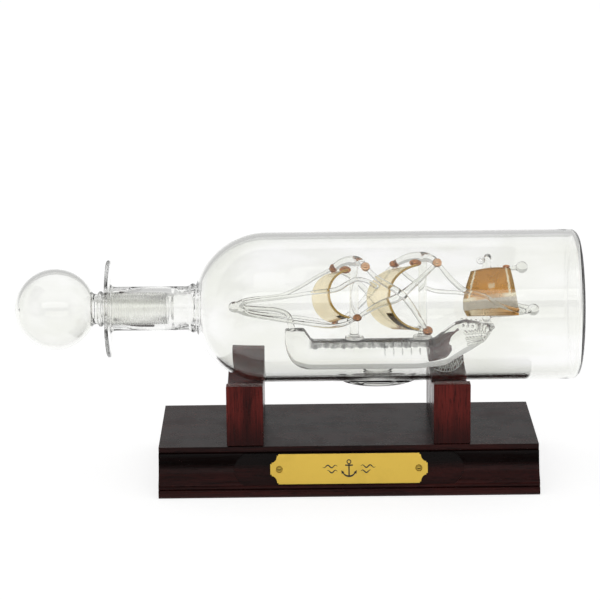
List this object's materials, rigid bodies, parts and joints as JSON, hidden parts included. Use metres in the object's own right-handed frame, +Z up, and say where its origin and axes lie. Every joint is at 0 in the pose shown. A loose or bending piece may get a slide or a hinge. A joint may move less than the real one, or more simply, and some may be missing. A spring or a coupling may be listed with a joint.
{
  "type": "ship in a bottle",
  "caption": "Lampworked glass ship with gilt sails inside a stoppered glass bottle, lying in two cradles on a moulded wooden plinth with a brass nameplate.",
  "frame": {"origin": "centre of the plinth's flat underside", "axes": "+X along the bottle towards its closed end, the neck at -X; -Y is the front with the nameplate; +Z up"},
  "size_m": [0.2818, 0.092, 0.1224],
  "materials": {
    "glass": "clear, fire polished",
    "ground_glass": "clear blown ball with a ground, frosted plug",
    "gold": "bright gold lustre on glass",
    "mahogany": "dark mahogany stain under gloss lacquer",
    "brass": "brushed and lacquered",
    "steel": "zinc plated"
  },
  "bodies": {
    "stand": {"plinth": "mahogany", "left_cradle": "mahogany", "right_cradle": "mahogany", "cradle_screw_1": "steel", "cradle_screw_2": "steel", "cradle_screw_3": "steel", "cradle_screw_4": "steel", "nameplate": "brass", "nameplate_pin_left": "brass", "nameplate_pin_right": "brass"},
    "bottle": {"bottle": "glass", "ship_foot": "glass", "hull": "glass", "stern_gallery": "glass", "foremast": "glass", "mainmast": "glass", "mizzenmast": "glass", "fore_upper_yard": "glass", "main_upper_yard": "glass", "fore_lower_yard": "glass", "main_lower_yard": "glass", "fore_sail": "gold", "main_sail": "gold", "spanker_sail": "gold", "gaff": "glass", "boom": "glass", "bowsprit": "glass", "bow_stay_upper_port": "glass", "bow_stay_upper_starboard": "glass", "bow_stay_lower_port": "glass", "bow_stay_lower_starboard": "glass", "cross_stay_outer_port": "glass", "cross_stay_inner_port": "glass", "cross_stay_outer_starboard": "glass", "cross_stay_inner_starboard": "glass", "after_stay_port": "glass", "after_stay_starboard": "glass"},
    "stopper": {"stopper": "ground_glass"}
  },
  "joints": [
    {"name": "bottle_lift", "type": "slide", "parent": "stand", "child": "bottle", "axis": [0, 0, 1], "range_m": [0, 0.06]},
    {"name": "stopper_pull", "type": "slide", "parent": "bottle", "child": "stopper", "axis": [-1, 0, 0], "range_m": [0, 0.05]}
  ]
}
